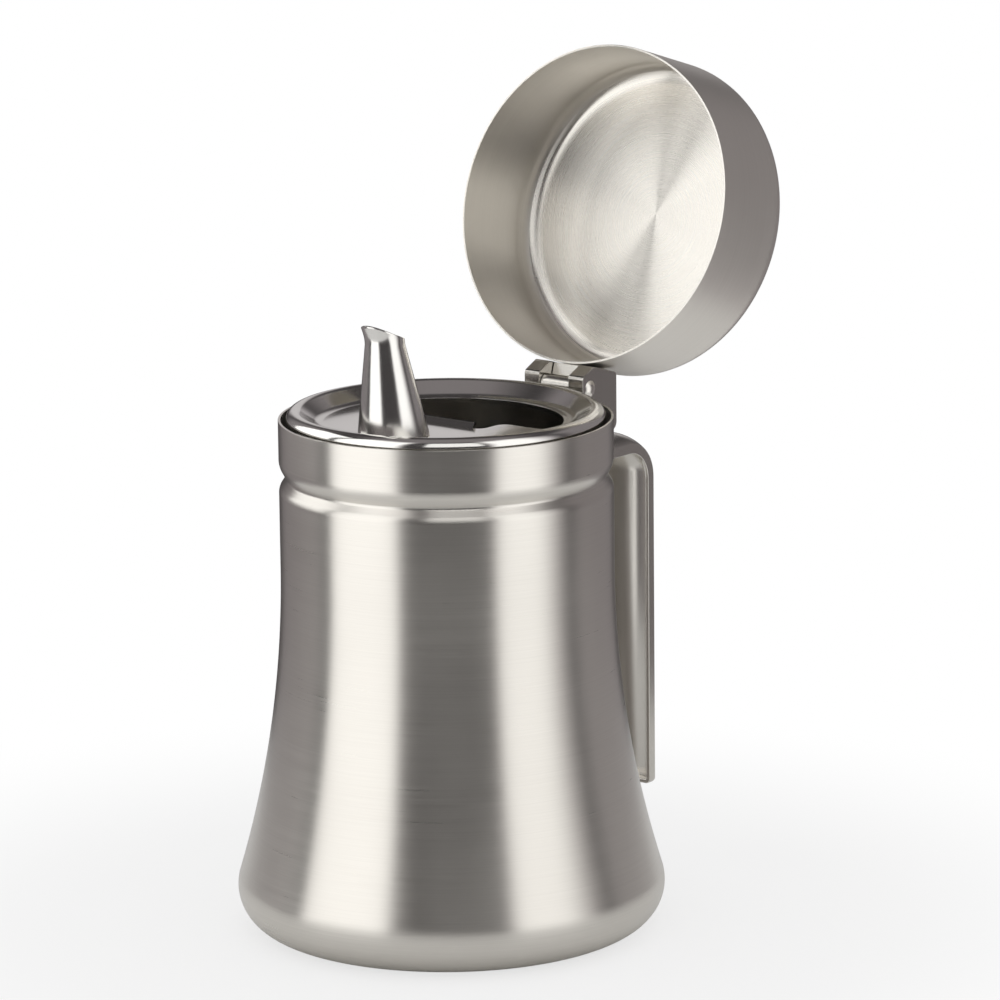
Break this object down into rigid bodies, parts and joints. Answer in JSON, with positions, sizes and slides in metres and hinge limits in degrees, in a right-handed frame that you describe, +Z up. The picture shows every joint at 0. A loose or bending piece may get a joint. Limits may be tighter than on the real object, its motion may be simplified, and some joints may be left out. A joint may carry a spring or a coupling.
{
  "type": "oil storage can",
  "caption": "Flared steel oil can with a rolled groove, a drop-in pouring insert with a beaked spout, a deep hinged lid that stands open and an open channel handle.",
  "frame": {"origin": "centre of the flat underside", "axes": "+Z up along the can's axis, spout towards -Y, hinge and handle at +Y, hinge pin along X"},
  "size_m": [0.1136, 0.1604, 0.2266],
  "materials": {
    "brushed": "brushed",
    "polished": "mirror polished",
    "seal": "matt"
  },
  "bodies": {
    "can": {"body_shell": "brushed", "base_disc": "brushed", "handle": "brushed", "hinge_bracket": "brushed", "hinge_pin": "polished"},
    "lid": {"lid_shell": "brushed", "lid_leaf": "polished"},
    "insert": {"insert_dish": "polished", "spout_tube": "polished", "seal_ring": "seal"}
  },
  "joints": [
    {"name": "lid_hinge", "type": "hinge", "parent": "can", "child": "lid", "pos_m": [0, 0.0494, 0.1377], "axis": [1, 0, 0], "range_deg": [0, 106.8]},
    {"name": "insert_turn", "type": "hinge", "parent": "can", "child": "insert", "pos_m": [0, 0, 0.1373], "axis": [0, 0, 1], "continuous": true}
  ]
}
